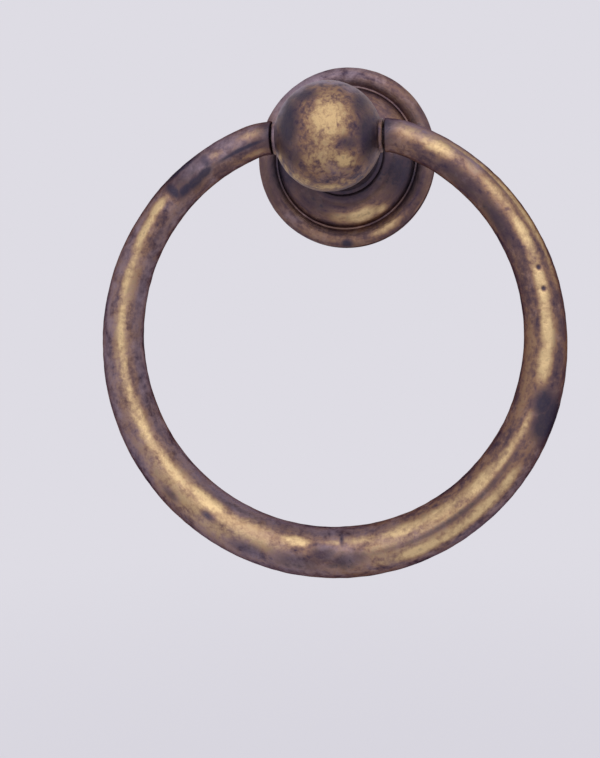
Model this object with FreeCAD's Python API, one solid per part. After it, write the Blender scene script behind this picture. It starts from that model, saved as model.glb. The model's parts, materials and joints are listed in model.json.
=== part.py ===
"""Ring pull handle for a drawer or cabinet door: a cast ring that swings in the ball of a turned post.

All sizes are millimetres. +Z is up, -Y is the front and the origin is the middle of the rosette's
back face, where it lies on the drawer front. Depths in front of that face are called stand and
are positive towards the user, so a point at stand s has y = -s.
"""
import FreeCAD
import Part
import math
import os

# Rosette, the turned disc against the drawer front
rosette_r = 13.9
rim_edge = 1.9
rim_bead_width = 2.8
rim_bead_rise = 0.55
groove_width = 0.2
dome_land_r = 7.5
dome_rise = 2.5
cove_r = 1.3
collar_height = 1.2
collar_chamfer = 0.4
bore_clearance = 0.1

# Ball post, one turned piece from the ball to the threaded end
ball_r = 7.5
hinge_stand = 21.0
neck_top_r = 4.0
neck_r = 3.2
foot_r = 4.7
foot_thickness = 0.9
foot_chamfer = 0.2
spigot_r = 2.9
shank_r = 2.5
shank_length = 12.0
thread_r = 2.0
thread_tail = 3.8
thread_chamfer = 0.5
boss_proud = 0.1
boss_chamfer = 0.15

# Ring, thick at the bottom and thin beside the ball
ring_path_r = 29.7
ring_thick_r = 3.65
ring_thin_r = 2.3
end_bend_deg = 21.0
end_gap = 0.2
end_pin_r = 1.2
end_pin_length = 4.2
end_pin_chamfer = 0.2
pin_clearance = 0.06
arc_sections = 48
bend_sections = 3

# Fixing behind the drawer front
board_thickness = 18.0
washer_r = 6.0
washer_thickness = 1.0
washer_clearance = 0.2
nut_across_flats = 7.0
nut_thickness = 3.2
nut_bevel_deg = 30.0
nut_clearance = 0.04

# Places that follow from the sizes above
bead_inner_r = rosette_r - rim_bead_width
dome_foot_r = bead_inner_r - groove_width
dome_top = rim_edge + dome_rise
collar_r = dome_land_r - cove_r
collar_top = dome_top + cove_r + collar_height
rosette_bore_r = spigot_r + bore_clearance
foot_top = collar_top + foot_thickness
neck_top = hinge_stand - math.sqrt(ball_r**2 - neck_top_r**2)
neck_waist = (foot_top + neck_top) / 2
boss_face = ball_r + boss_proud
ring_end = boss_face + end_gap
cross_hole_r = end_pin_r + pin_clearance
end_bend = math.radians(end_bend_deg)
bend_r = ring_path_r - ring_end / math.sin(end_bend)
ring_drop = bend_r * (1 - math.cos(end_bend)) + ring_path_r * math.cos(end_bend)
washer_face = -board_thickness
nut_face = washer_face - washer_thickness
nut_back = nut_face - nut_thickness
thread_tip = nut_back - thread_tail

X_AXIS = FreeCAD.Vector(1, 0, 0)
Y_AXIS = FreeCAD.Vector(0, 1, 0)
FULL_TURN = 360
HEXAGON = 6


def at(radius, stand):
    """A point of a turned profile: radius from the Y axis and stand in front of the drawer face."""
    return FreeCAD.Vector(radius, -stand, 0)


def line(start, end):
    return Part.LineSegment(start, end).toShape()


def arc(start, through, end):
    return Part.Arc(start, through, end).toShape()


def turned(edges):
    """The solid that a closed profile sweeps round the Y axis, as a lathe cuts it."""
    face = Part.Face(Part.Wire(edges))
    return face.revolve(FreeCAD.Vector(0, 0, 0), Y_AXIS, FULL_TURN)


def dome_edge():
    """The convex edge of the dome, an arc that climbs steeply from the groove and ends flat on the land."""
    run = dome_foot_r - dome_land_r
    radius = (run**2 + dome_rise**2) / (2 * dome_rise)
    centre_stand = dome_top - radius
    half_turn = math.atan2(run, rim_edge - centre_stand) / 2
    middle = at(
        dome_land_r + radius * math.sin(half_turn), centre_stand + radius * math.cos(half_turn)
    )
    return arc(at(dome_foot_r, rim_edge), middle, at(dome_land_r, dome_top))


def rosette():
    """Bead round the rim, a narrow groove, a dome, a cove and the collar that the post sits on."""
    bead_outer = at(rosette_r, rim_edge)
    bead_crown = at((rosette_r + bead_inner_r) / 2, rim_edge + rim_bead_rise)
    bead_inner = at(bead_inner_r, rim_edge)
    dome_foot = at(dome_foot_r, rim_edge)
    dome_crown = at(dome_land_r, dome_top)
    cove_fall = cove_r * math.sqrt(0.5)
    cove_middle = at(dome_land_r - cove_fall, dome_top + cove_r - cove_fall)
    cove_end = at(collar_r, dome_top + cove_r)
    chamfer_start = at(collar_r, collar_top - collar_chamfer)
    chamfer_end = at(collar_r - collar_chamfer, collar_top)
    return turned([
        line(at(rosette_bore_r, 0), at(rosette_r, 0)),
        line(at(rosette_r, 0), bead_outer),
        arc(bead_outer, bead_crown, bead_inner),
        line(bead_inner, dome_foot),
        dome_edge(),
        arc(dome_crown, cove_middle, cove_end),
        line(cove_end, chamfer_start),
        line(chamfer_start, chamfer_end),
        line(chamfer_end, at(rosette_bore_r, collar_top)),
        line(at(rosette_bore_r, collar_top), at(rosette_bore_r, 0)),
    ])


def boss(side):
    """Short round boss on one side of the ball, which the ring's end face runs against."""
    radius = ring_thin_r
    straight = boss_face - boss_chamfer
    body = Part.makeCylinder(radius, straight, FreeCAD.Vector(0, 0, 0), X_AXIS)
    tip = Part.makeCone(
        radius, radius - boss_chamfer, boss_chamfer, FreeCAD.Vector(straight, 0, 0), X_AXIS
    )
    shape = body.fuse(tip)
    if side < 0:
        shape = shape.mirror(FreeCAD.Vector(0, 0, 0), X_AXIS)
    shape.translate(at(0, hinge_stand))
    return shape


def ball_post():
    """Ball, waisted neck, foot, spigot in the rosette, plain shank and threaded end, in one piece."""
    ball_front = at(0, hinge_stand + ball_r)
    ball_side = at(ball_r, hinge_stand)
    neck_start = at(neck_top_r, neck_top)
    neck_end = at(foot_r - foot_chamfer, foot_top)
    foot_edge = at(foot_r, foot_top - foot_chamfer)
    profile = turned([
        arc(ball_front, ball_side, neck_start),
        arc(neck_start, at(neck_r, neck_waist), neck_end),
        line(neck_end, foot_edge),
        line(foot_edge, at(foot_r, collar_top)),
        line(at(foot_r, collar_top), at(spigot_r, collar_top)),
        line(at(spigot_r, collar_top), at(spigot_r, 0)),
        line(at(spigot_r, 0), at(shank_r, 0)),
        line(at(shank_r, 0), at(shank_r, -shank_length)),
        line(at(shank_r, -shank_length), at(thread_r, -shank_length)),
        line(at(thread_r, -shank_length), at(thread_r, thread_tip + thread_chamfer)),
        line(at(thread_r, thread_tip + thread_chamfer), at(thread_r - thread_chamfer, thread_tip)),
        line(at(thread_r - thread_chamfer, thread_tip), at(0, thread_tip)),
        line(at(0, thread_tip), ball_front),
    ])
    span = 2 * boss_face
    hole = Part.makeCylinder(
        cross_hole_r, span, FreeCAD.Vector(-boss_face, -hinge_stand, 0), X_AXIS
    )
    return profile.fuse([boss(1), boss(-1)]).removeSplitter().cut(hole)


def section(x, z, slope, radius):
    """A round section of the ring at (x, z), square to a path that climbs at slope radians."""
    centre = FreeCAD.Vector(x, -hinge_stand, z)
    normal = FreeCAD.Vector(math.cos(slope), 0, math.sin(slope))
    return Part.Wire(Part.makeCircle(radius, centre, normal))


def graduated_radius(angle):
    """Section radius at an angle from the top of the ring: thinnest there, thickest at the bottom."""
    share = (1 - math.cos(angle)) / 2
    return ring_thin_r + (ring_thick_r - ring_thin_r) * share


def ring_sections():
    """Sections from the right end, round the bottom, to the left end.

    The path is a circle whose last few millimetres at each end bend level, so that both ends are
    cut square to the hinge axis.
    """
    wires = []
    for step in range(bend_sections):
        turn = end_bend * step / bend_sections
        x = ring_end + bend_r * math.sin(turn)
        z = -bend_r * (1 - math.cos(turn))
        wires.append((x, z, -turn, graduated_radius(turn)))
    for step in range(arc_sections + 1):
        angle = end_bend + (2 * math.pi - 2 * end_bend) * step / arc_sections
        x = ring_path_r * math.sin(angle)
        z = ring_path_r * math.cos(angle) - ring_drop
        wires.append((x, z, -angle, graduated_radius(angle)))
    for step in range(bend_sections):
        turn = end_bend * (bend_sections - 1 - step) / bend_sections
        x = -ring_end - bend_r * math.sin(turn)
        z = -bend_r * (1 - math.cos(turn))
        wires.append((x, z, turn, graduated_radius(turn)))
    return [section(*place) for place in wires]


def end_pin(side):
    """Round pin on one end of the ring, which turns in the cross hole of the ball."""
    straight = end_pin_length - end_pin_chamfer
    root = FreeCAD.Vector(side * ring_end, -hinge_stand, 0)
    inward = X_AXIS * -side
    pin = Part.makeCylinder(end_pin_r, straight, root, inward)
    tip_place = root + inward * straight
    tip = Part.makeCone(
        end_pin_r, end_pin_r - end_pin_chamfer, end_pin_chamfer, tip_place, inward
    )
    return pin.fuse(tip)


def ring():
    """One cast ring, graduated in thickness, open at the top with a pin on each end."""
    solid = True
    straight_between_sections = True
    body = Part.makeLoft(ring_sections(), solid, straight_between_sections)
    return body.fuse([end_pin(1), end_pin(-1)]).removeSplitter()


def washer():
    """Plain washer between the drawer front and the nut."""
    centre = at(0, washer_face)
    disc = Part.makeCylinder(washer_r, washer_thickness, centre, Y_AXIS)
    hole = Part.makeCylinder(thread_r + washer_clearance, washer_thickness, centre, Y_AXIS)
    return disc.cut(hole)


def nut():
    """Hexagon nut with its corners turned off on both faces."""
    face_r = nut_across_flats / 2
    corner_r = face_r / math.cos(math.pi / HEXAGON)
    corners = []
    for step in range(HEXAGON + 1):
        angle = 2 * math.pi * step / HEXAGON
        corners.append(FreeCAD.Vector(
            corner_r * math.cos(angle), -nut_face, corner_r * math.sin(angle)
        ))
    prism = Part.Face(Part.makePolygon(corners)).extrude(Y_AXIS * nut_thickness)
    fall = (corner_r - face_r) * math.tan(math.radians(nut_bevel_deg))
    turned_off = turned([
        line(at(0, nut_face), at(face_r, nut_face)),
        line(at(face_r, nut_face), at(corner_r, nut_face - fall)),
        line(at(corner_r, nut_face - fall), at(corner_r, nut_back + fall)),
        line(at(corner_r, nut_back + fall), at(face_r, nut_back)),
        line(at(face_r, nut_back), at(0, nut_back)),
        line(at(0, nut_back), at(0, nut_face)),
    ])
    hole = Part.makeCylinder(thread_r + nut_clearance, nut_thickness, at(0, nut_face), Y_AXIS)
    return prism.common(turned_off).cut(hole)


pieces = {
    "rosette": rosette,
    "ball_post": ball_post,
    "ring": ring,
    "washer": washer,
    "nut": nut,
}

os.makedirs("parts", exist_ok=True)
for node, make in pieces.items():
    shape = make()
    shape.exportStep(f"parts/{node}.step")
    box = shape.optimalBoundingBox(False)
    print(
        f"{node}: solids {len(shape.Solids)}, valid {shape.isValid()}, volume {shape.Volume:.1f} mm3, "
        f"x {box.XMin:.2f}..{box.XMax:.2f}, y {box.YMin:.2f}..{box.YMax:.2f}, "
        f"z {box.ZMin:.2f}..{box.ZMax:.2f}"
    )
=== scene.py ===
"""The looks of a ring pull handle, built over its packed construction and laid out as an add-on.

The ring, the ball post and the rosette are modelled here as fine meshes in the place of their solids.
The washer and the nut keep their solids and get a finish. Lengths are metres, +Z is up, -Y is the
front, and the rosette's back face lies at y = 0.
"""
import json
import math
from typing import NamedTuple

import bmesh
import bpy
from mathutils import Matrix, Vector, noise


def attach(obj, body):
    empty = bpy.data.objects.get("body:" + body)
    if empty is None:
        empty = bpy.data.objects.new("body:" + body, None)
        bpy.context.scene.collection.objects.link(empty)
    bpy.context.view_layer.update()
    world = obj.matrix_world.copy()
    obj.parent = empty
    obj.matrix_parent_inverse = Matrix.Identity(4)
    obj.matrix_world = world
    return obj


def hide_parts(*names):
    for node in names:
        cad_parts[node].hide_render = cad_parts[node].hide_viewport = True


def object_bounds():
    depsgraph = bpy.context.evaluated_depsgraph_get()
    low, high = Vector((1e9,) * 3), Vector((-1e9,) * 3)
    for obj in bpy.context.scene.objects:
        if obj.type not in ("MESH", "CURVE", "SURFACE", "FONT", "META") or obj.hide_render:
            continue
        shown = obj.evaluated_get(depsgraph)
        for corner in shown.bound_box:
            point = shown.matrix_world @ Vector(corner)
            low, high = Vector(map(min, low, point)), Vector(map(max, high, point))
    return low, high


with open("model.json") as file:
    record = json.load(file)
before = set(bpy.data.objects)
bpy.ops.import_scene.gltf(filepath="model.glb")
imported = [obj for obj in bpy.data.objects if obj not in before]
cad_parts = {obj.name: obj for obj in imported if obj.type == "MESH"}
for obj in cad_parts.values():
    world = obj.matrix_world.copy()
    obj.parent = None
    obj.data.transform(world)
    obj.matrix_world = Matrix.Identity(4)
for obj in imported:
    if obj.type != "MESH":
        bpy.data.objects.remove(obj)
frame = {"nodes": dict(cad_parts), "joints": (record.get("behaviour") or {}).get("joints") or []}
cad_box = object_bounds()

bl_info = {
    "name": "Ring pull handle",
    "version": (1, 0, 0),
    "blender": (4, 5, 0),
    "location": "View3D > Sidebar > Ring Pull",
    "description": "Builds a browned cast ring pull on a ball post and rosette, with its stage",
    "category": "Object",
}

MM = 0.001
HINGE = Vector(frame["joints"][0]["pos_m"])
FRONT = Vector((0, -1, 0))
RIGHT = Vector((1, 0, 0))
UP = Vector((0, 0, 1))


def linear(hex_code):
    """Linear colour with alpha from an sRGB hex code."""
    channels = [int(hex_code[place:place + 2], 16) / 255 for place in (0, 2, 4)]
    return tuple(c / 12.92 if c <= 0.04045 else ((c + 0.055) / 1.055) ** 2.4 for c in channels) + (1.0,)


# Sizes and colours that a user would change


def length(name, description, millimetres):
    """A length property, from a default in millimetres."""
    return bpy.props.FloatProperty(
        name=name, description=description, default=millimetres * MM, unit="LENGTH", precision=5
    )


def colour(name, description, hex_code):
    """A colour property, from a default as an sRGB hex code."""
    return bpy.props.FloatVectorProperty(
        name=name, description=description, default=linear(hex_code), subtype="COLOR", size=4, min=0, max=1
    )


class RingSettings(bpy.types.PropertyGroup):
    path_radius: length("Path radius", "Radius of the circle that the ring's section follows", 29.7)
    thin_radius: length("Thin radius", "Section radius beside the ball", 2.3)
    thick_radius: length("Thick radius", "Section radius at the bottom", 3.65)
    end_reach: length("End reach", "From the middle plane to each end face", 7.8)
    end_bend: bpy.props.FloatProperty(
        name="End bend",
        description="Turn over which each end bends level",
        default=math.radians(21),
        subtype="ANGLE",
    )
    end_round: length("End round", "Rounding of the edge of each end face", 0.25)
    pin_radius: length("Pin radius", "Radius of the end pins that turn in the ball", 1.2)
    pin_length: length("Pin length", "How far each end pin goes into the ball", 4.2)
    unevenness: length("Unevenness", "How far the cast skin dips under the true form", 0.12)


class PostSettings(bpy.types.PropertyGroup):
    ball_radius: length("Ball radius", "Radius of the ball", 7.5)
    boss_radius: length("Boss radius", "Radius of the flat boss on each side of the ball", 2.3)
    boss_reach: length("Boss reach", "From the middle plane to the face of each boss", 7.6)
    hole_radius: length("Hole radius", "Radius of the cross hole for the ring's pins", 1.26)
    neck_top_radius: length("Neck top radius", "Neck radius where it leaves the ball", 4.0)
    neck_radius: length("Neck radius", "Neck radius at the waist", 3.2)
    foot_radius: length("Foot radius", "Radius of the flange on the collar", 4.7)
    foot_thickness: length("Foot thickness", "Thickness of that flange", 0.9)
    foot_chamfer: length("Foot chamfer", "Broken edge of that flange", 0.2)
    spigot_radius: length("Spigot radius", "Radius inside the rosette", 2.9)
    shank_radius: length("Shank radius", "Radius of the plain shank", 2.5)
    shank_length: length("Shank length", "Length of the plain shank", 12.0)
    thread_radius: length("Thread radius", "Radius over the crests of the thread", 2.0)
    thread_pitch: length("Thread pitch", "Distance from one crest to the next", 0.7)
    thread_length: length("Thread length", "Length of the threaded end", 14.0)
    unevenness: length("Unevenness", "How far wear dips under the turned form", 0.06)


class RosetteSettings(bpy.types.PropertyGroup):
    radius: length("Radius", "Outer radius of the rosette", 13.9)
    rim_edge: length("Rim edge", "Straight edge behind the bead", 1.9)
    bead_width: length("Bead width", "Width of the bead round the rim", 2.8)
    bead_rise: length("Bead rise", "Rise of the bead above the groove", 0.55)
    groove: length("Groove", "Width of the groove inside the bead", 0.2)
    land_radius: length("Land radius", "Radius where the dome ends and the cove begins", 7.5)
    dome_rise: length("Dome rise", "Rise of the dome above the groove", 2.5)
    cove_radius: length("Cove radius", "Radius of the cove under the collar", 1.3)
    collar_height: length("Collar height", "Straight side of the collar", 1.2)
    collar_chamfer: length("Collar chamfer", "Broken edge of the collar", 0.4)
    bore_radius: length("Bore radius", "Radius of the bore for the spigot", 3.0)
    unevenness: length("Unevenness", "How far wear dips under the turned form", 0.08)


class FinishSettings(bpy.types.PropertyGroup):
    # Gold also colours the painted highlights, bloom the painted pale reflections on rims, and blue black
    # the painted shade
    gold: colour("Gold", "Brass rubbed bright by hands", "DCBF90")
    bronze: colour("Bronze", "Brass rubbed half clean", "A17E65")
    warm_brown: colour("Warm brown", "Brown patina where it is thin", "79605E")
    purple_brown: colour("Purple brown", "Brown patina where it is thick", "514351")
    blue_black: colour("Blue black", "Tarnish and old dirt where nothing rubs", "37384C")
    bloom: colour("Bloom", "Greyish pink bloom and dust on the patina", "A191A0")
    plain_brass: colour("Plain brass", "Dull brass of the washer and the nut", "B0956A")


class StageSettings(bpy.types.PropertyGroup):
    backdrop: colour("Backdrop", "Colour of the floor and of what stands behind the handle", "DEDCE4")
    floor_drop: length("Floor drop", "How far the floor lies under the ring", 90.0)
    floor_radius: length("Floor radius", "Radius of the floor", 1500.0)
    key_power: bpy.props.FloatProperty(
        name="Key power", description="Power of the large soft lamp in front", default=0.5, unit="POWER"
    )
    key_size: length("Key size", "Side of the soft lamp", 420.0)
    focal_length: bpy.props.FloatProperty(
        name="Focal length",
        description="Lens, for 36 mm of film along the picture's longer side",
        default=47.5,
        unit="CAMERA",
    )


class HandleSettings(bpy.types.PropertyGroup):
    ring: bpy.props.PointerProperty(type=RingSettings)
    post: bpy.props.PointerProperty(type=PostSettings)
    rosette: bpy.props.PointerProperty(type=RosetteSettings)
    finish: bpy.props.PointerProperty(type=FinishSettings)
    stage: bpy.props.PointerProperty(type=StageSettings)


# Marks of wear and dirt, and of painted highlights, reflections and shade, by where they lie on a piece


class Mark(NamedTuple):
    """An oval patch: where its middle lies along and across, its reach in each, and its strength.

    The comment over each table says what along and across are on that piece.
    """

    along: float
    across: float
    reach_along: float
    reach_across: float
    strength: float


class WearAndLight(NamedTuple):
    """The marks on one piece: rubbed bright, with painted highlights among them; greyish bloom, with
    painted pale reflections among them; and tarnish and dirt, with painted shade among them.
    """

    rubbed_and_highlit: tuple
    bloom_and_sheen: tuple
    tarnished: tuple


# Along: degrees clockwise from the ring's top. Across: degrees from the front to the outside.
RING_WEAR_AND_LIGHT = WearAndLight(
    # The golden bands are rubbed wear and partly a painted highlight along the lit middle of the tube
    rubbed_and_highlit=(
        Mark(-171, -31, 6, 18, 1.0),
        Mark(-158, -37, 9, 22, 0.65),
        Mark(-143, -32, 10, 25, 1.0),
        Mark(-129, -25, 14, 22, 0.82),
        Mark(-113, -20, 13, 22, 0.92),
        Mark(-100, -17, 15, 19, 0.84),
        Mark(-86, -12, 14, 18, 0.88),
        Mark(-71, -6, 13, 18, 0.85),
        Mark(-59, 3, 9, 18, 0.9),
        Mark(-51.5, 9, 5, 20, 0.98),
        Mark(-146, -12, 40, 56, 0.66),
        Mark(-90, -14, 44, 34, 0.56),
        Mark(-31, 8, 3, 18, 0.55),
        Mark(-19, 16, 5, 18, 0.62),
        Mark(-21, -56, 6, 14, 0.45),
        Mark(22, 20, 7, 34, 0.6),
        Mark(30, 18, 7, 38, 0.85),
        Mark(40, 24, 6, 22, 0.45),
        Mark(49, 18, 8, 22, 0.7),
        Mark(62, 13, 10, 23, 0.92),
        Mark(75, 5, 12, 23, 0.92),
        Mark(86, 1, 12, 25, 0.97),
        Mark(95, -4, 7, 25, 1.0),
        Mark(52, 52, 28, 20, 0.85),
        Mark(95, -40, 26, 30, 0.35),
        Mark(113, -10, 7, 13, 0.75),
        Mark(122, -19, 9, 17, 0.85),
        Mark(132, -26, 10, 22, 0.95),
        Mark(145, -32, 12, 21, 0.85),
        Mark(157, -34, 10, 20, 0.9),
        Mark(170, -37, 8, 14, 0.7),
        Mark(178, -34, 5, 9, 0.7),
        Mark(127, 22, 6, 16, 0.95),
        Mark(136, 21, 11, 18, 0.98),
        Mark(146, 23, 10, 17, 0.92),
        Mark(155, 22, 10, 20, 1.02),
        Mark(163, 23, 6, 17, 0.7),
        Mark(150, -8, 36, 56, 0.58),
    ),
    # Greyish bloom, and near the ends a painted pale reflection along the upper edges
    bloom_and_sheen=(
        Mark(-157, 28, 30, 55, 0.8),
        Mark(-120, 22, 26, 50, 0.7),
        Mark(-92, 20, 55, 75, 0.62),
        Mark(-150, -70, 45, 35, 0.9),
        Mark(-90, -65, 65, 40, 0.6),
        Mark(-30, 20, 16, 60, 0.7),
        Mark(28, 48, 20, 45, 1.0),
        Mark(168, -20, 22, 80, 0.5),
        Mark(145, 60, 30, 32, 0.6),
    ),
    tarnished=(
        Mark(-43, -21, 3.5, 20, 1.0),
        Mark(-39.5, -23, 4, 20, 1.0),
        Mark(-36, -21, 3, 18, 1.0),
        Mark(-45.5, 6, 1.6, 42, 1.0),
        Mark(-34, 8, 1.4, 34, 0.75),
        Mark(-40, 50, 7, 20, 1.0),
        Mark(-40, 10, 7, 40, 0.5),
        Mark(-23.5, -20, 9, 9, 1.0),
        # Painted shade on each end where it meets the ball
        Mark(-13, 0, 6, 90, 0.8),
        Mark(13, 0, 5.5, 90, 1.0),
        Mark(40, -36, 10, 34, 0.5),
        Mark(54, -34, 9, 26, 0.6),
        Mark(45, 41, 14, 4, 0.5),
        Mark(108.5, 48, 7.5, 40, 1.0),
        Mark(105, 14, 4.5, 30, 1.0),
        Mark(110, 26, 5, 30, 0.85),
        Mark(140, -3, 28, 8, 0.55),
        Mark(175, 6, 4.5, 22, 0.62),
        Mark(-179.5, -10, 4.5, 24, 0.6),
        Mark(-134, 16, 3.5, 12, 0.5),
        Mark(-145.5, -5, 2.5, 9, 0.75),
        Mark(-159, 18, 6, 18, 0.6),
        Mark(-150, -59, 9, 10, 0.5),
        Mark(172, 0, 4, 20, 0.45),
        Mark(-172, 14, 8, 24, 0.5),
    ),
)
RING_PITS = (
    Mark(70.5, 12, 0.8, 8, 1.0),
    Mark(76, 8, 0.8, 8, 0.9),
    Mark(-145, -8, 1.0, 5, 0.7),
    Mark(-158, 12, 0.9, 4, 0.6),
    Mark(175.5, -46, 0.6, 20, 0.8),
    Mark(178, 18, 2.5, 8, 0.5),
)

# Along: millimetres to the right of the ball's middle. Across: millimetres above it.
BALL_WEAR_AND_LIGHT = WearAndLight(
    # The bright patch in the middle and the thin bright lines round the lower edge are painted highlights,
    # partly wear
    rubbed_and_highlit=(
        Mark(0.9, 1.1, 3.6, 4.3, 0.88),
        Mark(0.4, -3.4, 4.6, 2.8, 0.6),
        Mark(2.9, -4.1, 1.6, 1.0, 1.05),
        Mark(1.0, -3.3, 1.2, 0.9, 0.75),
        Mark(0.3, -7.2, 3.6, 0.5, 0.85),
        Mark(-3.3, -6.4, 2.0, 0.5, 0.75),
        Mark(3.4, -6.4, 1.8, 0.4, 0.6),
        Mark(-6.2, -3.2, 0.45, 0.8, 0.9),
        Mark(-5.4, -4.5, 0.6, 0.8, 0.9),
        Mark(-4.2, -5.8, 0.9, 0.6, 0.9),
    ),
    # The pale band round the top and the left is a painted reflection of the pale room
    bloom_and_sheen=(
        Mark(0, 6.9, 5.5, 0.9, 1.15),
        Mark(-4.0, 5.9, 1.8, 1.3, 1.15),
        Mark(-5.9, 4.0, 1.1, 2.0, 1.1),
        Mark(-7.0, 0, 0.7, 4.0, 0.8),
        Mark(4.0, 5.8, 1.8, 1.2, 0.8),
        Mark(1.5, -5.2, 2.6, 1.4, 0.5),
    ),
    # The dark ring round the bright patch is a painted dark reflection
    tarnished=(
        Mark(-4.6, 0.8, 1.8, 4.4, 0.9),
        Mark(-4.0, -3.2, 1.6, 1.6, 0.6),
        Mark(-2.6, 4.5, 2.2, 1.0, 0.75),
        Mark(5.9, -0.4, 1.4, 3.8, 0.85),
        Mark(5.0, 3.4, 1.2, 2.0, 0.65),
        Mark(3.6, -1.9, 1.4, 1.0, 0.65),
    ),
)

# Along: degrees clockwise from the rosette's top. Across: millimetres from its middle.
ROSETTE_WEAR_AND_LIGHT = WearAndLight(
    # The golden crescent low on the dome and the streaks on the bead are painted highlights, partly wear
    rubbed_and_highlit=(
        Mark(163, 9.5, 20, 1.3, 1.05),
        Mark(184, 9.4, 14, 0.9, 0.75),
        Mark(146, 9.9, 9, 0.7, 0.9),
        Mark(150, 12.7, 16, 0.8, 0.8),
        Mark(180, 12.8, 14, 0.7, 0.5),
        Mark(204, 12.6, 14, 0.8, 0.35),
        Mark(62, 9.5, 14, 1.0, 0.35),
    ),
    # Bloom and dust, with a painted pale reflection along the rim
    bloom_and_sheen=(
        Mark(0, 12.5, 32, 3.0, 0.55),
        Mark(-34, 13.0, 30, 1.8, 1.1),
        Mark(-150, 12.9, 40, 1.0, 0.3),
    ),
    tarnished=(
        Mark(0, 11.0, 400, 0.3, 0.25),
        # Painted shade round the collar under the ball
        Mark(0, 5.6, 400, 2.4, 0.85),
        # Painted shade beside the ball on the left, under the ring's end
        Mark(-100, 9.0, 30, 4.5, 0.9),
        Mark(-140, 8.0, 40, 2.2, 0.6),
        # Painted shadow of the ball and the ring's end on the right
        Mark(106, 9.0, 28, 4.6, 0.85),
        Mark(60, 7.0, 40, 1.6, 0.5),
        Mark(70, 12.6, 34, 1.8, 0.4),
        Mark(-100, 12.8, 34, 1.6, 0.4),
        Mark(179, 13.3, 5, 0.8, 0.9),
    ),
)

# A mark is full out to the first share of its reach, and has faded away at the second
FIRM_EDGE = 0.2
SOFT_EDGE = 1.4


def marked(marks, along, across):
    """The strength of the strongest mark at a place, with each oval fading out round its edge."""
    strongest = 0.0
    for mark in marks:
        # Degrees go round; the ball's few millimetres pass through this unchanged
        turn = (along - mark.along + 180) % 360 - 180
        distance = math.hypot(turn / mark.reach_along, (across - mark.across) / mark.reach_across)
        share = min(max((SOFT_EDGE - distance) / (SOFT_EDGE - FIRM_EDGE), 0), 1)
        strongest = max(strongest, mark.strength * share * share * (3 - 2 * share))
    return strongest


# Mesh helpers

SHARP_DEGREES = 32

# The skin sinks by the mean share of its piece's unevenness, and more or less in hollows and in dents
MEAN_WEAR = 0.5
HOLLOW_WEAR = 0.35
HOLLOW_SIZE = 5 * MM
DENT_WEAR = 0.3
DENT_SIZE = 1.1 * MM


def skin(name, rows, looped=False):
    """A mesh object over rows of points; a row of one point closes the skin, and looped joins the ends."""
    shell = bmesh.new()
    made = [[shell.verts.new(point) for point in row] for row in rows]
    pairs = list(zip(made, made[1:]))
    if looped:
        pairs.append((made[-1], made[0]))
    for first, second in pairs:
        count = max(len(first), len(second))
        for step in range(count):
            after = (step + 1) % count
            if len(first) == 1:
                corners = (first[0], second[after], second[step])
            elif len(second) == 1:
                corners = (first[step], first[after], second[0])
            else:
                corners = (first[step], first[after], second[after], second[step])
            shell.faces.new(corners)
    bmesh.ops.recalc_face_normals(shell, faces=shell.faces)
    mesh = bpy.data.meshes.new(name)
    shell.to_mesh(mesh)
    shell.free()
    piece = bpy.data.objects.new(name, mesh)
    bpy.context.scene.collection.objects.link(piece)
    return piece


def spun(name, profile, steps, axis, side, looped=False, offset=None):
    """A turned skin: profile points are (radius, distance along axis) and side is square to the axis."""
    other = axis.cross(side)
    rows = []
    for radius, reach in profile:
        if radius == 0:
            rows.append([axis * reach])
            continue
        row = []
        for step in range(steps):
            angle = 2 * math.pi * step / steps
            cut = offset(angle, reach) if offset else 0
            out = side * math.cos(angle) + other * math.sin(angle)
            row.append(axis * reach + out * (radius - cut))
        rows.append(row)
    return skin(name, rows, looped)


def arc(centre, radius, start, end, steps):
    """Points of an arc in a profile, from start to end degrees, both ends included."""
    points = []
    for step in range(steps + 1):
        angle = math.radians(start + (end - start) * step / steps)
        points.append((centre[0] + radius * math.cos(angle), centre[1] + radius * math.sin(angle)))
    return points


def evenly(start, end, spacing):
    """Points of a straight stretch of a profile, end left out."""
    steps = max(1, round(math.dist(start, end) / spacing))
    return [
        (start[0] + (end[0] - start[0]) * step / steps, start[1] + (end[1] - start[1]) * step / steps)
        for step in range(steps)
    ]


def finish_shading(piece):
    """Smooth shading, broken where the skin turns sharply."""
    piece.data.shade_smooth()
    piece.data.set_sharp_from_angle(angle=math.radians(SHARP_DEGREES))


def wear_down(piece, depth, allowed):
    """Sinks the skin unevenly, by depth at most, times what allowed says for a place on it."""
    broad = 1 / HOLLOW_SIZE
    fine = 1 / DENT_SIZE
    skin_points = [(vertex.co.copy(), vertex.normal.copy()) for vertex in piece.data.vertices]
    sunk = []
    for place, normal in skin_points:
        hollow = HOLLOW_WEAR * noise.noise(place * broad)
        dent = DENT_WEAR * noise.noise(place * fine)
        share = MEAN_WEAR + hollow + dent
        sunk.extend(place - normal * depth * min(max(share, 0), 1) * allowed(place))
    piece.data.vertices.foreach_set("co", sunk)
    piece.data.update()


def paint_wear_and_light(piece, wear, spot_at, allowed, shade_at=None):
    """Writes how far each layer of marks covers each point, as far as allowed says for its place.

    Painted shade under the ball goes in with the tarnish, where the last function given says.
    """
    layers = {name: [] for name in WearAndLight._fields}
    for vertex in piece.data.vertices:
        spot = spot_at(vertex.co)
        share = allowed(vertex.co)
        here = {name: share * marked(marks, *spot) for name, marks in wear._asdict().items()}
        if shade_at:
            here["tarnished"] = max(here["tarnished"], shade_at(vertex.co))
        here["rubbed_and_highlit"] *= 1 - min(here["tarnished"], 1)
        for name, amount in here.items():
            layers[name].append(amount)
    for name, amounts in layers.items():
        piece.data.attributes.new(name, "FLOAT", "POINT").data.foreach_set("value", amounts)


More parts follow.
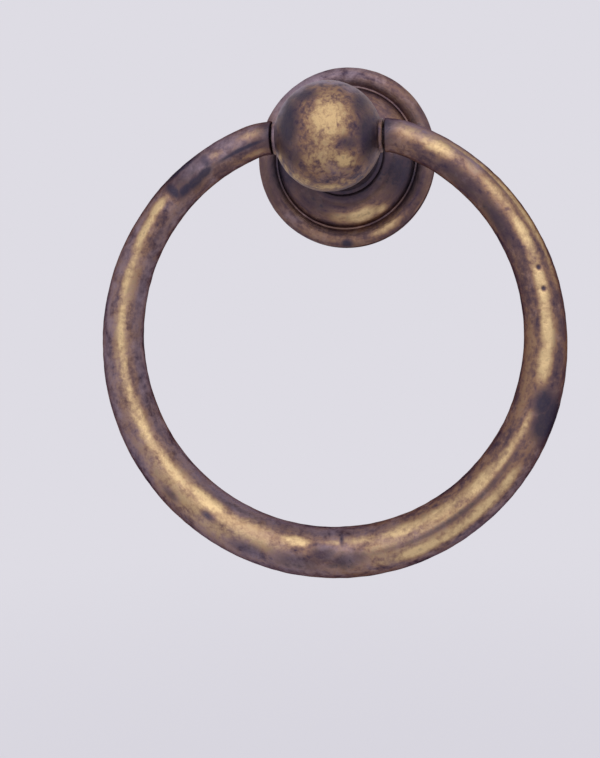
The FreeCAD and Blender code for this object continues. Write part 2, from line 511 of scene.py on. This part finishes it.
def seat(piece, body, node, material):
    """Puts a finished piece on its body in the place of its solid."""
    piece.data.materials.append(material)
    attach(piece, body)
    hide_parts(node)


# Materials


def add(tree, kind, inputs=None, stops=(), **settings):
    """Adds a node with its settings, its values and links by input, and the stops of its ramp."""
    node = tree.nodes.new(kind)
    for name, value in settings.items():
        setattr(node, name, value)
    for key, value in (inputs or {}).items():
        if isinstance(value, bpy.types.NodeSocket):
            tree.links.new(value, node.inputs[key])
        else:
            node.inputs[key].default_value = value
    for index, (place, shade) in enumerate(stops):
        ramp = node.color_ramp.elements
        stop = ramp[index] if index < len(ramp) else ramp.new(place)
        stop.position = place
        stop.color = shade
    return node.outputs


def new_material(name):
    material = bpy.data.materials.new(name)
    material.use_nodes = True
    material.node_tree.nodes.clear()
    return material, material.node_tree


# Tint of a metal's gloss seen edge on: dull where the skin covers the brass
DULL_EDGE = linear("7C6F72")
BRIGHT_EDGE = linear("FFFFFF")

# A Mix node has sockets of the same name for each kind of data; these are the ones for colour
MIX_FIRST = 6
MIX_SECOND = 7
MIX_RESULT = 2


class Pattern(NamedTuple):
    """A noise in the patina: its usual size in millimetres, its detail and its distortion."""

    size_mm: float
    detail: float
    distortion: float


PATCHES = Pattern(2.6, 4.0, 0.5)
BLOTCHES = Pattern(1.6, 4.0, 0.6)
SPECKS = Pattern(0.65, 3.0, 0.3)
GRAIN = Pattern(0.25, 2.0, 0.0)
PATINA_ROUGHNESS = 0.48
PIT_DEPTH = 0.07 * MM
STAIN_SIZE_MM = 2.2

# The tool's rings are this share as deep as the pits
TOOL_RING_HEIGHT = 0.05


class Streaks(NamedTuple):
    """Wear drawn out round an axis parallel to Y: where the axis lies and the streaks' usual size."""

    centre: Vector
    radius: float
    length: float
    width: float


def streaked_blotches(tree, place, streaks):
    """Blotches drawn out round an axis, as a noise over the way round it, out from it and along it."""
    offset = add(
        tree, "ShaderNodeVectorMath", {0: place, 1: tuple(streaks.centre)}, operation="SUBTRACT"
    )[0]
    split = add(tree, "ShaderNodeSeparateXYZ", {"Vector": offset})
    flat = add(tree, "ShaderNodeCombineXYZ", {"X": split["X"], "Z": split["Z"]})[0]
    out = add(tree, "ShaderNodeVectorMath", {0: flat}, operation="LENGTH")["Value"]
    bearing = add(tree, "ShaderNodeVectorMath", {0: flat}, operation="NORMALIZE")[0]
    round_axis = add(
        tree, "ShaderNodeVectorMath", {0: bearing, "Scale": streaks.radius / streaks.length},
        operation="SCALE",
    )[0]
    across = add(tree, "ShaderNodeMath", {0: out, 1: streaks.width}, operation="DIVIDE")[0]
    lengthwise = add(tree, "ShaderNodeMath", {0: split["Y"], 1: streaks.width}, operation="DIVIDE")[0]
    outward = add(tree, "ShaderNodeCombineXYZ", {"Y": across})[0]
    drawn = add(tree, "ShaderNodeVectorMath", {0: round_axis, 1: outward}, operation="ADD")[0]
    return add(
        tree, "ShaderNodeTexNoise",
        {"Vector": drawn, "W": lengthwise, "Scale": 1.0, "Detail": 3.0, "Roughness": 0.6},
        noise_dimensions="4D",
    )["Fac"]


def tool_rings(tree, in_mm, spacing_mm):
    """A wave that runs out from the shank's axis and back along it, as a tool marks a turned piece.

    The real rings are about 0.1 mm apart and are drawn coarser so that they show.
    """
    split = add(tree, "ShaderNodeSeparateXYZ", {"Vector": in_mm})
    flat = add(tree, "ShaderNodeCombineXYZ", {"X": split["X"], "Y": split["Z"]})[0]
    radius = add(tree, "ShaderNodeVectorMath", {0: flat}, operation="LENGTH")["Value"]
    reach = add(tree, "ShaderNodeMath", {0: radius, 1: split["Y"]}, operation="SUBTRACT")[0]
    turns = add(tree, "ShaderNodeMath", {0: reach, 1: 2 * math.pi / spacing_mm}, operation="MULTIPLY")[0]
    return add(tree, "ShaderNodeMath", {0: turns}, operation="SINE")[0]


def browned_brass(name, finish, edge_tint, worn_roughness, tear, streaks=None, tool_rings_mm=0):
    """Brass browned with chemicals, then worn bright where hands reach.

    The eye gets a dark purplish skin with a dull gloss, warm brown where the skin is thin, a greyish
    bloom on it here and there, golden bands that shade off through bronze, and blue-black tarnish on top.
    The golden bands also hold painted highlights, the bloom painted pale reflections, and the tarnish
    painted shade.
    """
    material, tree = new_material(name)
    place = add(tree, "ShaderNodeTexCoord")["Object"]
    in_mm = add(tree, "ShaderNodeVectorMath", {0: place, 1: (1 / MM,) * 3}, operation="MULTIPLY")[0]
    patch, blotch, speck, grain = (
        add(
            tree, "ShaderNodeTexNoise",
            {
                "Vector": in_mm, "Scale": 1 / pattern.size_mm, "Detail": pattern.detail,
                "Roughness": 0.65, "Distortion": pattern.distortion,
            },
        )["Fac"]
        for pattern in (PATCHES, BLOTCHES, SPECKS, GRAIN)
    )
    if streaks:
        blotch = streaked_blotches(tree, place, streaks)

    # Each kind of mark is torn by patterns: how strongly, and the amounts where it begins and is full
    amounts = {}
    shares = {}
    for layer, tears, begin, full in (
        ("rubbed_and_highlit", ((blotch, tear), (speck, tear)), 0.08, 0.95),
        ("bloom_and_sheen", ((patch, 2.2), (blotch, 0.6), (speck, 0.8)), 0.15, 1.0),
        ("tarnished", ((blotch, 1.4), (speck, 1.4)), 0.15, 0.95),
    ):
        amount = add(tree, "ShaderNodeAttribute", attribute_name=layer)["Fac"]
        for pattern, strength in tears:
            amount = add(
                tree, "ShaderNodeMath", {0: pattern, 1: strength, 2: amount}, operation="MULTIPLY_ADD"
            )[0]
        middle = sum(strength for pattern, strength in tears) / 2
        amounts[layer] = add(tree, "ShaderNodeMath", {0: amount, 1: middle}, operation="SUBTRACT")[0]
        shares[layer] = add(tree, "ShaderNodeMapRange", {"Value": amounts[layer], 1: begin, 2: full})[0]

    # The skin is thin under the bright wear and the painted highlights, and where the patterns run high
    thinness = 0
    for pattern, strength in ((amounts["rubbed_and_highlit"], 0.18), (blotch, 0.5), (patch, 0.28), (speck, 0.22)):
        thinness = add(
            tree, "ShaderNodeMath", {0: pattern, 1: strength, 2: thinness}, operation="MULTIPLY_ADD"
        )[0]
    skin_colour = add(
        tree, "ShaderNodeValToRGB", {"Fac": thinness},
        stops=(
            (0.35, tuple(finish.purple_brown)),
            (0.5, tuple(finish.warm_brown)),
            (0.64, tuple(finish.bronze)),
        ),
    )["Color"]
    worn_and_highlight_colour = add(
        tree, "ShaderNodeValToRGB", {"Fac": amounts["rubbed_and_highlit"]},
        stops=((0.3, tuple(finish.bronze)), (0.95, tuple(finish.gold))),
    )["Color"]

    # From the lowest layer to the highest, with how much each hides at most
    for layer, shade, most in (
        ("bloom_and_sheen", tuple(finish.bloom), 0.66),
        ("rubbed_and_highlit", worn_and_highlight_colour, 1.0),
        ("tarnished", tuple(finish.blue_black), 0.85),
    ):
        share = add(tree, "ShaderNodeMath", {0: shares[layer], 1: most}, operation="MULTIPLY")[0]
        skin_colour = add(
            tree, "ShaderNodeMix", {"Factor": share, MIX_FIRST: skin_colour, MIX_SECOND: shade},
            data_type="RGBA",
        )[MIX_RESULT]
    roughness = add(
        tree, "ShaderNodeMapRange", {"Value": shares["rubbed_and_highlit"], 3: PATINA_ROUGHNESS, 4: worn_roughness}
    )[0]

    # The skin is pitted as finely as the grain, and a turned piece also has rings from the tool
    height = add(tree, "ShaderNodeMath", {0: grain, 1: speck}, operation="ADD")[0]
    if tool_rings_mm:
        wave = tool_rings(tree, in_mm, tool_rings_mm)
        height = add(
            tree, "ShaderNodeMath", {0: wave, 1: TOOL_RING_HEIGHT, 2: height}, operation="MULTIPLY_ADD"
        )[0]
    bump = add(tree, "ShaderNodeBump", {"Height": height, "Strength": 0.45, "Distance": PIT_DEPTH})[0]
    shader = add(
        tree, "ShaderNodeBsdfPrincipled",
        {
            "Base Color": skin_colour, "Metallic": 1.0, "Roughness": roughness, "Normal": bump,
            "Specular Tint": edge_tint,
        },
    )[0]
    add(tree, "ShaderNodeOutputMaterial", {"Surface": shader})
    return material


def dull_brass(finish):
    """Turned brass left to dull: even, yellowish, with faint bronze stains and a soft gloss."""
    material, tree = new_material("dull_turned_brass")
    place = add(tree, "ShaderNodeTexCoord")["Object"]
    in_mm = add(tree, "ShaderNodeVectorMath", {0: place, 1: (1 / MM,) * 3}, operation="MULTIPLY")[0]
    stain = add(
        tree, "ShaderNodeTexNoise",
        {"Vector": in_mm, "Scale": 1 / STAIN_SIZE_MM, "Detail": 8.0, "Roughness": 0.7},
    )["Fac"]
    shade = add(
        tree, "ShaderNodeValToRGB", {"Fac": stain},
        stops=((0.38, tuple(finish.bronze)), (0.62, tuple(finish.plain_brass))),
    )["Color"]
    bump = add(tree, "ShaderNodeBump", {"Height": stain, "Strength": 0.3, "Distance": 0.03 * MM})[0]
    shader = add(
        tree, "ShaderNodeBsdfPrincipled",
        {"Base Color": shade, "Metallic": 1.0, "Roughness": 0.38, "Normal": bump},
    )[0]
    add(tree, "ShaderNodeOutputMaterial", {"Surface": shader})
    return material


# The ring

PIN_CHAMFER = 0.2 * MM

# A pit sinks by this many times the wear round it, on top of that wear
PITS_DEEPER = 2


def ring_bend_radius(ring):
    """Radius of the bend that turns each end level."""
    return ring.path_radius - ring.end_reach / math.sin(ring.end_bend)


def ring_drop(ring):
    """How far the centre of the ring's circle lies under the hinge."""
    bend_drop = ring_bend_radius(ring) * (1 - math.cos(ring.end_bend))
    return bend_drop + ring.path_radius * math.cos(ring.end_bend)


def ring_rows(ring, section_steps=84, arc_steps=760, bend_steps=10, round_steps=4):
    """Rows of skin points from the tip of the right end pin, round the bottom, to the left one."""
    drop = ring_drop(ring)
    bend_radius = ring_bend_radius(ring)

    def radius_at(angle):
        return ring.thin_radius + (ring.thick_radius - ring.thin_radius) * (1 - math.cos(angle)) / 2

    def row(x, z, slope, radius):
        out = Vector((-math.sin(slope), 0, math.cos(slope)))
        middle = HINGE + Vector((x, 0, z))
        points = []
        for step in range(section_steps):
            angle = 2 * math.pi * step / section_steps
            points.append(middle + (FRONT * math.cos(angle) + out * math.sin(angle)) * radius)
        return points

    tip = ring.end_reach - ring.pin_length
    end = [
        (tip, 0),
        (tip, ring.pin_radius - PIN_CHAMFER),
        (tip + PIN_CHAMFER, ring.pin_radius),
        (ring.end_reach, ring.pin_radius),
    ]
    for step in range(round_steps + 1):
        angle = math.pi / 2 * step / round_steps
        end.append((
            ring.end_reach + ring.end_round * (1 - math.cos(angle)),
            ring.thin_radius - ring.end_round * (1 - math.sin(angle)),
        ))
    right = [row(x, 0, 0, radius) if radius else [HINGE + RIGHT * x] for x, radius in end]
    left = [row(-x, 0, 0, radius) if radius else [HINGE - RIGHT * x] for x, radius in reversed(end)]

    # The bend's first step is left out, because it would fall on the rounded edge
    bends = []
    for step in range(2, bend_steps):
        turn = ring.end_bend * step / bend_steps
        x = ring.end_reach + bend_radius * math.sin(turn)
        z = -bend_radius * (1 - math.cos(turn))
        bends.append((x, z, turn))
    middle = []
    for step in range(arc_steps + 1):
        angle = ring.end_bend + (2 * math.pi - 2 * ring.end_bend) * step / arc_steps
        x = ring.path_radius * math.sin(angle)
        z = ring.path_radius * math.cos(angle) - drop
        middle.append(row(x, z, -angle, radius_at(angle)))
    right_bend = [row(x, z, -turn, radius_at(turn)) for x, z, turn in bends]
    left_bend = [row(-x, z, turn, radius_at(turn)) for x, z, turn in reversed(bends)]
    return right + right_bend + middle + left_bend + left


def on_ring(ring):
    """A function that turns a point of the ring's skin into its two angles in degrees."""
    centre = HINGE - UP * ring_drop(ring)

    def angles(point):
        offset = point - centre
        along = math.degrees(math.atan2(offset.x, offset.z))
        out = math.hypot(offset.x, offset.z) - ring.path_radius
        return along, math.degrees(math.atan2(out, -offset.y))

    return angles


class HANDLE_OT_ring(bpy.types.Operator):
    """Build the cast ring with its level ends and end pins"""

    bl_idname = "handle.ring"
    bl_label = "Ring"

    def execute(self, context):
        handle = context.scene.ring_pull
        ring = handle.ring
        piece = skin("cast_ring", ring_rows(ring))
        angles = on_ring(ring)
        pin_end = ring.end_reach + ring.end_round

        # The end pins and the end faces stay true
        def pitted(place):
            past_ends = abs(place.x) > pin_end or place.z < -ring.path_radius
            return 1 + PITS_DEEPER * marked(RING_PITS, *angles(place)) if past_ends else 0

        wear_down(piece, ring.unevenness, pitted)
        marks = RING_WEAR_AND_LIGHT._replace(tarnished=RING_WEAR_AND_LIGHT.tarnished + RING_PITS)
        paint_wear_and_light(piece, marks, angles, lambda place: 1)
        finish_shading(piece)
        streaks = Streaks(
            HINGE - UP * ring_drop(ring), ring.path_radius, length=4.5 * MM, width=1.5 * MM
        )
        finish = browned_brass(
            "browned_cast_brass", handle.finish, DULL_EDGE, worn_roughness=0.38, tear=0.9, streaks=streaks
        )
        seat(piece, "ring", "ring", finish)
        return {"FINISHED"}


# The ball post

BALL_STEPS = 160
BALL_ARC_STEPS = 110
STEM_STEPS = 72
NECK_STEPS = 24
BOSS_EDGE = 0.15 * MM
SHANK_CHAMFER = 0.2 * MM
TIP_CHAMFER = 0.5 * MM

# The neck ends in a blunt cap inside the ball
CAP_RISE = 2.2 * MM
CAP_SHOULDER = 1.6 * MM
CAP_NARROWING = 0.8

# The thread's depth is a share of its pitch, as in a metric thread; it fades in over the run-out
THREAD_DEPTH = 0.61
THREAD_STEP = 0.07 * MM
THREAD_RUN_OUT = 0.6 * MM

# Wear keeps off each boss, out to this many times its radius
BOSS_CLEARANCE = 1.3

# How strongly painted shade under the ball darkens the neck and its foot
NECK_SHADE = 0.85


class PostPlaces(NamedTuple):
    """Where the parts of the post end, by distance in front of the rosette's back face."""

    collar_top: float
    foot_top: float
    neck_top: float
    shank_end: float
    tip: float


def post_places(post, rosette):
    """Works those distances out from the sizes of the post and the rosette."""
    collar_top = rosette.rim_edge + rosette.dome_rise + rosette.cove_radius + rosette.collar_height
    foot_top = collar_top + post.foot_thickness
    neck_top = -HINGE.y - math.sqrt(post.ball_radius**2 - post.neck_top_radius**2)
    shank_end = -post.shank_length
    return PostPlaces(collar_top, foot_top, neck_top, shank_end, shank_end - post.thread_length)


def ball_profile(post):
    """The ball with its two bosses and cross hole, as turned about the hinge axis."""
    meet = math.degrees(math.asin(post.boss_radius / post.ball_radius))
    side = [
        (post.hole_radius, post.boss_reach),
        (post.boss_radius - BOSS_EDGE, post.boss_reach),
        (post.boss_radius, post.boss_reach - BOSS_EDGE),
    ]
    profile = side + arc((0, 0), post.ball_radius, 90 - meet, meet - 90, BALL_ARC_STEPS)
    profile += [(radius, -reach) for radius, reach in reversed(side)]
    profile += [(post.hole_radius, post.boss_reach * share) for share in (-0.5, 0, 0.5)]
    return profile


def stem_profile(post, places):
    """The neck from its cap inside the ball, the foot, the spigot, the shank and the threaded end."""
    waist = (places.foot_top + places.neck_top) / 2
    profile = [
        (0, places.neck_top + CAP_RISE),
        (post.neck_top_radius * CAP_NARROWING, places.neck_top + CAP_SHOULDER),
    ]
    for step in range(NECK_STEPS + 1):
        share = step / NECK_STEPS
        reach = places.neck_top + (places.foot_top - places.neck_top) * share
        spread = (reach - waist) / (places.neck_top - waist)
        wide = post.neck_top_radius if reach > waist else post.foot_radius - post.foot_chamfer
        profile.append((post.neck_radius + (wide - post.neck_radius) * spread**2, reach))
    thread_end = (post.thread_radius, places.tip + TIP_CHAMFER)
    profile += [
        (post.foot_radius, places.foot_top - post.foot_chamfer),
        (post.foot_radius, places.collar_top),
        (post.spigot_radius, places.collar_top),
        (post.spigot_radius, 0),
        (post.shank_radius, 0),
        (post.shank_radius, places.shank_end + SHANK_CHAMFER),
        (post.shank_radius - SHANK_CHAMFER, places.shank_end),
    ]
    profile += evenly((post.thread_radius, places.shank_end), thread_end, THREAD_STEP)
    profile += [thread_end, (post.thread_radius - TIP_CHAMFER, places.tip), (0, places.tip)]
    return profile


def thread_on(post, places):
    """A function that gives the depth of the thread's groove at an angle and a reach from the face."""

    def thread_cut(angle, reach):
        if reach > places.shank_end - THREAD_RUN_OUT / 3 or reach < places.tip + TIP_CHAMFER / 2:
            return 0
        turn = (reach / post.thread_pitch + angle / (2 * math.pi)) % 1
        fade = min((places.shank_end - reach) / THREAD_RUN_OUT, 1)
        return THREAD_DEPTH * post.thread_pitch * abs(2 * turn - 1) * fade

    return thread_cut


def unite(context, piece, other):
    """Joins a closed skin with another that runs into it, and removes the other."""
    union = piece.modifiers.new("union", "BOOLEAN")
    union.operation = "UNION"
    union.solver = "MANIFOLD"
    union.object = other
    context.view_layer.update()
    joined = bpy.data.meshes.new_from_object(piece.evaluated_get(context.evaluated_depsgraph_get()))
    joined.materials.clear()
    joined.polygons.foreach_set("material_index", [0] * len(joined.polygons))
    piece.modifiers.clear()
    piece.data = joined
    bpy.data.objects.remove(other)


class HANDLE_OT_post(bpy.types.Operator):
    """Build the ball, its neck and foot, the shank and the thread as one turned piece"""

    bl_idname = "handle.post"
    bl_label = "Ball post"

    def execute(self, context):
        handle = context.scene.ring_pull
        post = handle.post
        places = post_places(post, handle.rosette)
        ball = spun("ball_post_turned", ball_profile(post), BALL_STEPS, RIGHT, FRONT, looped=True)
        for vertex in ball.data.vertices:
            vertex.co += HINGE
        thread_cut = thread_on(post, places)
        stem = spun("stem", stem_profile(post, places), STEM_STEPS, FRONT, RIGHT, offset=thread_cut)
        unite(context, ball, stem)

        stand = -HINGE.y
        fade = post.ball_radius / 4

        def open_skin(place):
            offset = place - HINGE
            clear_of_boss = math.hypot(offset.y, offset.z) > post.boss_radius * BOSS_CLEARANCE
            return 1 if clear_of_boss and -place.y > places.foot_top else 0

        def front_half(place):
            return min(max((-place.y - stand) / fade, 0), 1)

        # Painted shade on the neck and foot behind the ball, laid as tarnish
        def shade_on_neck(place):
            behind = min(max((stand + place.y - post.ball_radius / 2) / fade, 0), 1)
            return NECK_SHADE * behind if -place.y > places.collar_top - post.foot_thickness else 0

        wear_down(ball, post.unevenness, open_skin)
        paint_wear_and_light(ball, BALL_WEAR_AND_LIGHT, lambda place: (place.x / MM, place.z / MM), front_half, shade_on_neck)
        finish_shading(ball)
        finish = browned_brass(
            "browned_turned_brass_post", handle.finish, BRIGHT_EDGE, worn_roughness=0.6, tear=1.5,
            tool_rings_mm=0.35,
        )
        seat(ball, "fixed", "ball_post", finish)
        return {"FINISHED"}


# The rosette

ROSETTE_STEPS = 300
FLAT_STEP = 0.4 * MM
BEAD_STEPS = 24
DOME_STEPS = 26
COVE_STEPS = 12

# Wear keeps off the collar, out to this many times its radius
COLLAR_CLEARANCE = 1.02


def rosette_profile(rosette):
    """Bead, groove, dome, cove and collar, from the back of the bore outwards and round to it."""
    bead_inner = rosette.radius - rosette.bead_width
    bead_curve = (rosette.bead_width**2 / 4 + rosette.bead_rise**2) / (2 * rosette.bead_rise)
    bead_spread = math.degrees(math.asin(rosette.bead_width / 2 / bead_curve))
    bead_centre = ((rosette.radius + bead_inner) / 2, rosette.rim_edge + rosette.bead_rise - bead_curve)
    dome_foot = bead_inner - rosette.groove
    dome_run = dome_foot - rosette.land_radius
    dome_curve = (dome_run**2 + rosette.dome_rise**2) / (2 * rosette.dome_rise)
    dome_top = rosette.rim_edge + rosette.dome_rise
    dome_spread = math.degrees(math.atan2(dome_run, dome_curve - rosette.dome_rise))
    collar_radius = rosette.land_radius - rosette.cove_radius
    collar_top = dome_top + rosette.cove_radius + rosette.collar_height
    dome_centre = (rosette.land_radius, dome_top - dome_curve)
    cove_centre = (rosette.land_radius, dome_top + rosette.cove_radius)
    profile = evenly((rosette.bore_radius, 0), (rosette.radius, 0), FLAT_STEP)
    profile += evenly((rosette.radius, 0), (rosette.radius, rosette.rim_edge), FLAT_STEP)
    profile += arc(bead_centre, bead_curve, 90 - bead_spread, 90 + bead_spread, BEAD_STEPS)
    profile += arc(dome_centre, dome_curve, 90 - dome_spread, 90, DOME_STEPS)
    profile += arc(cove_centre, rosette.cove_radius, 270, 180, COVE_STEPS)[1:]
    profile += [
        (collar_radius, collar_top - rosette.collar_chamfer),
        (collar_radius - rosette.collar_chamfer, collar_top),
        (rosette.bore_radius, collar_top),
    ]
    return profile


class HANDLE_OT_rosette(bpy.types.Operator):
    """Build the turned rosette that lies on the drawer front"""

    bl_idname = "handle.rosette"
    bl_label = "Rosette"

    def execute(self, context):
        handle = context.scene.ring_pull
        rosette = handle.rosette
        profile = rosette_profile(rosette)
        piece = spun("turned_rosette", profile, ROSETTE_STEPS, FRONT, RIGHT, looped=True)
        collar_radius = rosette.land_radius - rosette.cove_radius

        def on_rosette(point):
            return math.degrees(math.atan2(point.x, point.z)), math.hypot(point.x, point.z) / MM

        def face_only(place):
            outside_collar = math.hypot(place.x, place.z) > collar_radius * COLLAR_CLEARANCE
            return 1 if -place.y > rosette.rim_edge / 2 and outside_collar else 0

        def face_and_collar(place):
            return 1 if -place.y > rosette.rim_edge / 2 else 0

        wear_down(piece, rosette.unevenness, face_only)
        paint_wear_and_light(piece, ROSETTE_WEAR_AND_LIGHT, on_rosette, face_and_collar)
        finish_shading(piece)
        streaks = Streaks(Vector((0, 0, 0)), rosette.land_radius, length=4 * MM, width=0.9 * MM)
        finish = browned_brass(
            "browned_turned_brass_rosette", handle.finish, DULL_EDGE, worn_roughness=0.34, tear=0.7,
            streaks=streaks, tool_rings_mm=0.45,
        )
        seat(piece, "fixed", "rosette", finish)
        return {"FINISHED"}


# The fixing behind the drawer front


class HANDLE_OT_fixing(bpy.types.Operator):
    """Give the washer and the nut their finish"""

    bl_idname = "handle.fixing"
    bl_label = "Washer and nut"

    def execute(self, context):
        material = dull_brass(context.scene.ring_pull.finish)
        for name in ("washer", "nut"):
            node = frame["nodes"][name]
            node.data.materials.clear()
            node.data.materials.append(material)
        return {"FINISHED"}


# The stage

# The camera's turns are in degrees, and the picture's long side and sideways shift are in pixels
CAMERA_PLACE = Vector((20.18, -158.97, -24.09)) * MM
CAMERA_YAW = -7.668
CAMERA_PITCH = -3.821
CAMERA_ROLL = -0.059
CAMERA_CLIP = 10 * MM
PHOTO_LONG_SIDE = 758
PHOTO_MIDDLE_OFFSET = 40

KEY_PLACE = Vector((40, -400, 210)) * MM
KEY_AIM_DROP = 25 * MM
ROOM_STRENGTH = 0.9

# The floor glows as the backdrop does, and less near the handle, where it keeps the shadow
FLOOR_STEPS = 96
NEAR_FLOOR = 60 * MM
FAR_FLOOR = 420 * MM
NEAR_GLOW = 0.7


class HANDLE_OT_stage(bpy.types.Operator):
    """Lay the pale floor, light the handle softly and set up the camera"""

    bl_idname = "handle.stage"
    bl_label = "Stage"

    def execute(self, context):
        stage = context.scene.ring_pull.stage
        self.make_camera(context, stage)
        self.make_world(context, stage)
        self.make_key(context, stage)
        self.make_floor(context, stage)
        context.scene.view_settings.view_transform = "Standard"
        return {"FINISHED"}

    def make_camera(self, context, stage):
        """The camera where the photograph was taken from, with its framing."""
        data = bpy.data.cameras.new("camera")
        data.lens = stage.focal_length
        data.shift_x = -PHOTO_MIDDLE_OFFSET / PHOTO_LONG_SIDE
        data.clip_start = CAMERA_CLIP
        camera = bpy.data.objects.new("camera", data)
        context.scene.collection.objects.link(camera)
        yaw, pitch, roll = (math.radians(angle) for angle in (CAMERA_YAW, CAMERA_PITCH, CAMERA_ROLL))
        turn = Matrix.Rotation(-yaw, 4, "Z") @ Matrix.Rotation(math.pi / 2 + pitch, 4, "X")
        camera.matrix_world = Matrix.Translation(CAMERA_PLACE) @ turn @ Matrix.Rotation(roll, 4, "Z")
        context.scene.camera = camera

    def make_world(self, context, stage):
        """An even pale room: seen and reflected as written, and a little dimmer as light."""
        world = bpy.data.worlds.new("soft_room")
        world.use_nodes = True
        tree = world.node_tree
        tree.nodes.clear()
        path = add(tree, "ShaderNodeLightPath")
        seen = add(
            tree, "ShaderNodeMath", {0: path["Is Camera Ray"], 1: path["Is Glossy Ray"]},
            operation="MAXIMUM",
        )[0]
        seen_through = add(
            tree, "ShaderNodeMath", {0: seen, 1: path["Is Transmission Ray"]}, operation="MAXIMUM"
        )[0]
        room = add(
            tree, "ShaderNodeBackground", {"Color": tuple(stage.backdrop), "Strength": ROOM_STRENGTH}
        )[0]
        backdrop = add(
            tree, "ShaderNodeBackground", {"Color": tuple(stage.backdrop), "Strength": 1.0}
        )[0]
        mixed = add(tree, "ShaderNodeMixShader", {0: seen_through, 1: room, 2: backdrop})[0]
        add(tree, "ShaderNodeOutputWorld", {"Surface": mixed})
        context.scene.world = world

    def make_key(self, context, stage):
        """The large soft lamp in front and above."""
        data = bpy.data.lights.new("key", "AREA")
        data.energy = stage.key_power
        data.size = stage.key_size
        key = bpy.data.objects.new("key", data)
        context.scene.collection.objects.link(key)
        aim = HINGE - UP * KEY_AIM_DROP
        key.location = KEY_PLACE
        key.rotation_mode = "QUATERNION"
        key.rotation_quaternion = (aim - KEY_PLACE).to_track_quat("-Z", "Y")

    def make_floor(self, context, stage):
        """The round floor under the handle."""
        height = cad_box[0].z - stage.floor_drop
        rows = [[Vector((0, 0, height))]]
        rows.append([
            Vector((math.cos(angle), math.sin(angle), 0)) * stage.floor_radius + UP * height
            for angle in (2 * math.pi * step / FLOOR_STEPS for step in range(FLOOR_STEPS))
        ])
        floor = skin("floor", rows)
        material, tree = new_material("pale_floor")
        path = add(tree, "ShaderNodeLightPath")
        place = add(tree, "ShaderNodeTexCoord")["Object"]
        reach = add(tree, "ShaderNodeVectorMath", {0: place}, operation="LENGTH")["Value"]
        glow_share = add(
            tree, "ShaderNodeMapRange", {"Value": reach, 1: NEAR_FLOOR, 2: FAR_FLOOR, 3: NEAR_GLOW, 4: 1.0},
            interpolation_type="SMOOTHSTEP",
        )[0]
        share = add(
            tree, "ShaderNodeMath", {0: path["Is Camera Ray"], 1: glow_share, 2: path["Is Glossy Ray"]},
            operation="MULTIPLY_ADD",
        )[0]
        matt = add(tree, "ShaderNodeBsdfDiffuse", {"Color": tuple(stage.backdrop)})[0]
        glow = add(tree, "ShaderNodeEmission", {"Color": tuple(stage.backdrop), "Strength": 1.0})[0]
        mixed = add(tree, "ShaderNodeMixShader", {0: share, 1: matt, 2: glow})[0]
        add(tree, "ShaderNodeOutputMaterial", {"Surface": mixed})
        floor.data.materials.append(material)


class HANDLE_PT_panel(bpy.types.Panel):
    """The operators, each with the sizes or colours that it uses"""

    bl_idname = "HANDLE_PT_panel"
    bl_label = "Ring pull handle"
    bl_space_type = "VIEW_3D"
    bl_region_type = "UI"
    bl_category = "Ring Pull"

    def draw(self, context):
        handle = context.scene.ring_pull
        for operator, group in (
            (HANDLE_OT_ring, handle.ring),
            (HANDLE_OT_post, handle.post),
            (HANDLE_OT_rosette, handle.rosette),
            (HANDLE_OT_fixing, handle.finish),
            (HANDLE_OT_stage, handle.stage),
        ):
            box = self.layout.box()
            box.operator(operator.bl_idname)
            for name in group.__annotations__:
                box.prop(group, name)


GROUPS = (RingSettings, PostSettings, RosetteSettings, FinishSettings, StageSettings, HandleSettings)
OPERATORS = (HANDLE_OT_ring, HANDLE_OT_post, HANDLE_OT_rosette, HANDLE_OT_fixing, HANDLE_OT_stage)


def register():
    for item in (*GROUPS, *OPERATORS, HANDLE_PT_panel):
        bpy.utils.register_class(item)
    bpy.types.Scene.ring_pull = bpy.props.PointerProperty(type=HandleSettings)


def unregister():
    del bpy.types.Scene.ring_pull
    for item in reversed((*GROUPS, *OPERATORS, HANDLE_PT_panel)):
        bpy.utils.unregister_class(item)


def main():
    register()
    bpy.ops.handle.ring()
    bpy.ops.handle.post()
    bpy.ops.handle.rosette()
    bpy.ops.handle.fixing()
    bpy.ops.handle.stage()


if __name__ == "__main__":
    main()
